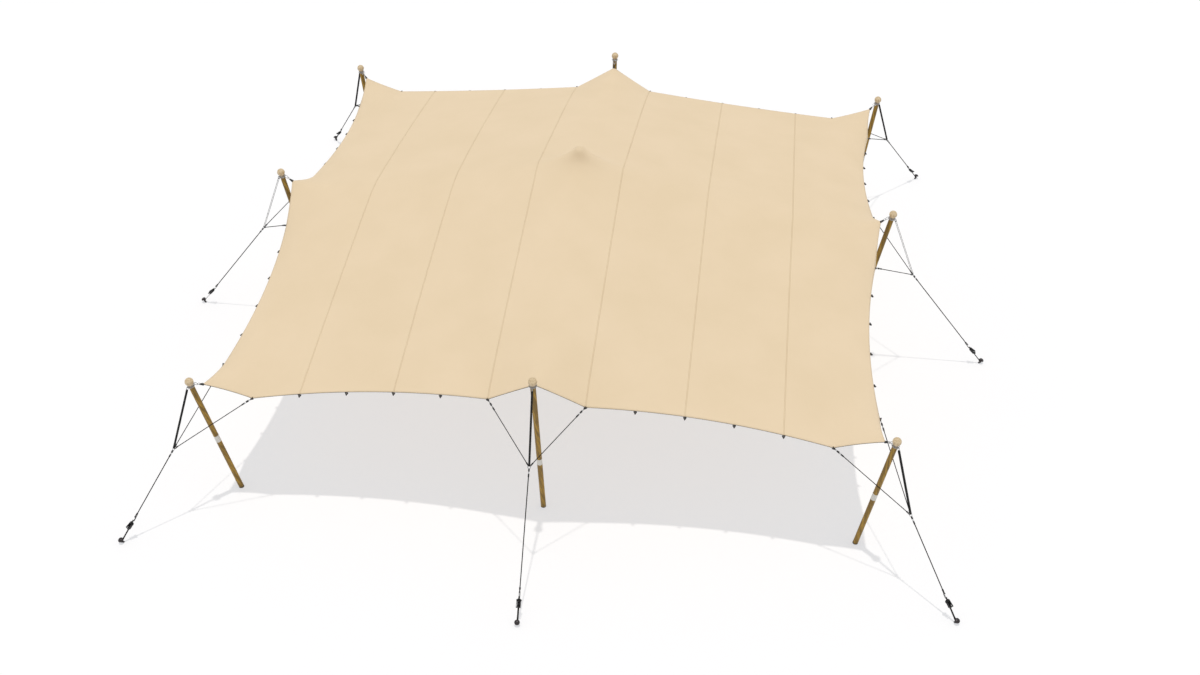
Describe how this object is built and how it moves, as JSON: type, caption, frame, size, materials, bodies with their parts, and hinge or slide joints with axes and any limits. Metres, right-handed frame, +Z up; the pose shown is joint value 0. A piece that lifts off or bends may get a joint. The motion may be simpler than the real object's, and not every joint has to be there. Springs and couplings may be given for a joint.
{
  "type": "stretch tent",
  "caption": "Free-standing stretch tent: a cream stretched canopy on leaning wooden poles with ball caps, a centre peak, and roped guy lines with ratchets and ground stakes.",
  "frame": {"origin": "on the ground under the canopy peak, at the middle of the footprint", "axes": "+X right along the front edge, +Y from front to back, +Z up"},
  "size_m": [14.935, 14.416, 4.059],
  "materials": {
    "canopy_cloth": "matt coated stretch cloth, sandy cream",
    "pole_wood": "oiled round timber",
    "cap_wood": "pale turned ball on a grey collar",
    "guy_rope": "black braided rope and webbing",
    "black_steel": "black coated steel"
  },
  "bodies": {
    "root": {"canopy_panel_1": "canopy_cloth", "canopy_panel_2": "canopy_cloth", "canopy_panel_3": "canopy_cloth", "canopy_panel_4": "canopy_cloth", "canopy_panel_5": "canopy_cloth", "canopy_panel_6": "canopy_cloth", "canopy_panel_7": "canopy_cloth", "pole_front_left": "pole_wood", "pole_cap_front_left": "cap_wood", "guy_bridle_front_left": "guy_rope", "ratchet_front_left": "black_steel", "stake_front_left": "black_steel", "pole_front_mid": "pole_wood", "pole_cap_front_mid": "cap_wood", "guy_bridle_front_mid": "guy_rope", "ratchet_front_mid": "black_steel", "stake_front_mid": "black_steel", "pole_front_right": "pole_wood", "pole_cap_front_right": "cap_wood", "guy_bridle_front_right": "guy_rope", "ratchet_front_right": "black_steel", "stake_front_right": "black_steel", "pole_right_mid": "pole_wood", "pole_cap_right_mid": "cap_wood", "guy_bridle_right_mid": "guy_rope", "ratchet_right_mid": "black_steel", "stake_right_mid": "black_steel", "pole_back_right": "pole_wood", "pole_cap_back_right": "cap_wood", "guy_bridle_back_right": "guy_rope", "ratchet_back_right": "black_steel", "stake_back_right": "black_steel", "pole_back_mid": "pole_wood", "pole_cap_back_mid": "cap_wood", "guy_bridle_back_mid": "guy_rope", "ratchet_back_mid": "black_steel", "stake_back_mid": "black_steel", "pole_back_left": "pole_wood", "pole_cap_back_left": "cap_wood", "guy_bridle_back_left": "guy_rope", "ratchet_back_left": "black_steel", "stake_back_left": "black_steel", "pole_left_mid": "pole_wood", "pole_cap_left_mid": "cap_wood", "guy_bridle_left_mid": "guy_rope", "ratchet_left_mid": "black_steel", "stake_left_mid": "black_steel", "pole_centre": "pole_wood", "pole_cap_centre": "cap_wood"},
    "handle_front_left": {"ratchet_handle_front_left": "black_steel"},
    "handle_front_mid": {"ratchet_handle_front_mid": "black_steel"},
    "handle_front_right": {"ratchet_handle_front_right": "black_steel"},
    "handle_right_mid": {"ratchet_handle_right_mid": "black_steel"},
    "handle_back_right": {"ratchet_handle_back_right": "black_steel"},
    "handle_back_mid": {"ratchet_handle_back_mid": "black_steel"},
    "handle_back_left": {"ratchet_handle_back_left": "black_steel"},
    "handle_left_mid": {"ratchet_handle_left_mid": "black_steel"}
  },
  "joints": [
    {"name": "handle_front_left_hinge", "type": "hinge", "parent": "root", "child": "handle_front_left", "pos_m": [-6.38131, -6.13761, 0.29938], "axis": [-0.6997, 0.7145, 0], "range_deg": [0, 150]},
    {"name": "handle_front_mid_hinge", "type": "hinge", "parent": "root", "child": "handle_front_mid", "pos_m": [0, -6.94195, 0.30916], "axis": [-1, 0, 0], "range_deg": [0, 150]},
    {"name": "handle_front_right_hinge", "type": "hinge", "parent": "root", "child": "handle_front_right", "pos_m": [6.38131, -6.13761, 0.29938], "axis": [-0.6997, -0.7145, 0], "range_deg": [0, 150]},
    {"name": "handle_right_mid_hinge", "type": "hinge", "parent": "root", "child": "handle_right_mid", "pos_m": [7.19752, 0, 0.30567], "axis": [0, -1, 0], "range_deg": [0, 150]},
    {"name": "handle_back_right_hinge", "type": "hinge", "parent": "root", "child": "handle_back_right", "pos_m": [6.38131, 6.13761, 0.29938], "axis": [0.6997, -0.7145, 0], "range_deg": [0, 150]},
    {"name": "handle_back_mid_hinge", "type": "hinge", "parent": "root", "child": "handle_back_mid", "pos_m": [0, 6.94195, 0.30916], "axis": [1, 0, 0], "range_deg": [0, 150]},
    {"name": "handle_back_left_hinge", "type": "hinge", "parent": "root", "child": "handle_back_left", "pos_m": [-6.38131, 6.13761, 0.29938], "axis": [0.6997, 0.7145, 0], "range_deg": [0, 150]},
    {"name": "handle_left_mid_hinge", "type": "hinge", "parent": "root", "child": "handle_left_mid", "pos_m": [-7.19752, 0, 0.30567], "axis": [0, 1, 0], "range_deg": [0, 150]}
  ]
}
